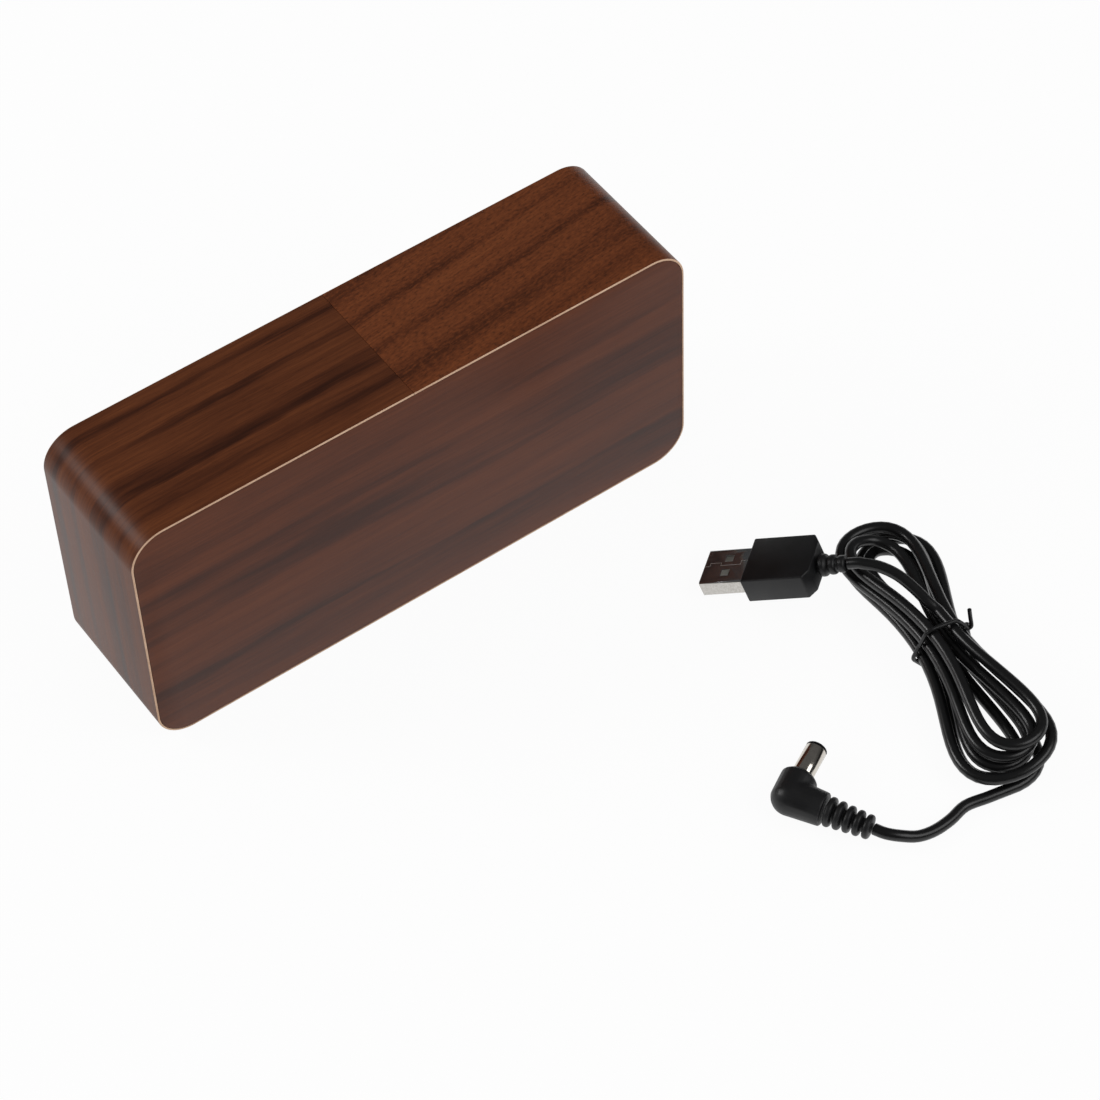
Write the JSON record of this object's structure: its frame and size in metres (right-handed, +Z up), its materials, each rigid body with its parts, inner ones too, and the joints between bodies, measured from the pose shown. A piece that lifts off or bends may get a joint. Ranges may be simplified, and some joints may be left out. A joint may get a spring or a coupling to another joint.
{
  "type": "digital alarm clock",
  "caption": "Block-shaped digital alarm clock in a wood-film case with a bare front, a rear cover with buttons and a battery bay, and its tied power cable.",
  "frame": {"origin": "middle of the case's base, on the surface that it stands on", "axes": "+X along the case's length, +Y from the front to the rear cover, +Z up"},
  "size_m": [0.1895, 0.178, 0.0753],
  "materials": {
    "walnut_film": "satin wood-grain film",
    "walnut_front": "satin wood-grain film",
    "fibreboard": "raw fibreboard",
    "dark_film": "tinted film",
    "white_plastic": "moulded",
    "black_plastic": "fine texture",
    "circuit_board": "solder mask",
    "nickel": "nickel plate",
    "steel": "zinc plate",
    "aluminium_can": "drawn can",
    "black_rubber": "satin moulded"
  },
  "bodies": {
    "clock": {"wrap_veneer": "walnut_film", "front_veneer": "walnut_front", "front_board": "fibreboard", "case_frame": "fibreboard", "diffuser_film": "dark_film", "segment_mask": "white_plastic", "display_board": "circuit_board", "main_board": "circuit_board", "back_plate": "black_plastic", "contact_spring_1": "nickel", "contact_spring_2": "nickel", "contact_spring_3": "nickel", "contact_spring_4": "nickel", "contact_plate_1": "nickel", "contact_plate_2": "nickel", "contact_plate_3": "nickel", "contact_plate_4": "nickel", "back_screw_1": "steel", "back_screw_2": "steel", "back_screw_3": "steel", "back_screw_4": "steel", "board_screw_1": "steel", "board_screw_2": "steel", "tact_switch_1": "black_plastic", "tact_switch_2": "black_plastic", "tact_switch_3": "black_plastic", "dc_socket": "black_plastic", "dc_socket_pin": "nickel", "buzzer": "black_plastic", "capacitor": "aluminium_can", "microphone": "aluminium_can", "thermistor": "black_plastic", "crystal_can": "steel", "mcu_chip": "black_plastic", "coin_cell_holder": "black_plastic", "coin_cell": "steel", "board_link": "black_plastic", "usb_shell": "nickel", "usb_tongue": "white_plastic", "usb_grip": "black_rubber", "usb_relief": "black_rubber", "cord_lead_usb": "black_rubber", "cord_hank": "black_rubber", "twist_tie": "black_rubber", "cord_lead_dc": "black_rubber", "dc_relief": "black_rubber", "dc_grip": "black_rubber", "dc_barrel": "nickel", "dc_tip_ring": "black_plastic"},
    "set_button": {"button_set": "black_plastic", "tact_plunger_1": "white_plastic"},
    "up_button": {"button_up": "black_plastic", "tact_plunger_2": "white_plastic"},
    "down_button": {"button_down": "black_plastic", "tact_plunger_3": "white_plastic"},
    "door": {"battery_door": "black_plastic"}
  },
  "joints": [
    {"name": "set_button_press", "type": "slide", "parent": "clock", "child": "set_button", "axis": [0, -1, 0], "range_m": [0, 0.0005], "stiffness_N_per_m": 600},
    {"name": "up_button_press", "type": "slide", "parent": "clock", "child": "up_button", "axis": [0, -1, 0], "range_m": [0, 0.0005], "stiffness_N_per_m": 600},
    {"name": "down_button_press", "type": "slide", "parent": "clock", "child": "down_button", "axis": [0, -1, 0], "range_m": [0, 0.0005], "stiffness_N_per_m": 600},
    {"name": "battery_door_hinge", "type": "hinge", "parent": "clock", "child": "door", "pos_m": [0.0335, 0.01935, 0.01445], "axis": [-1, 0, 0], "range_deg": [0, 90]}
  ]
}
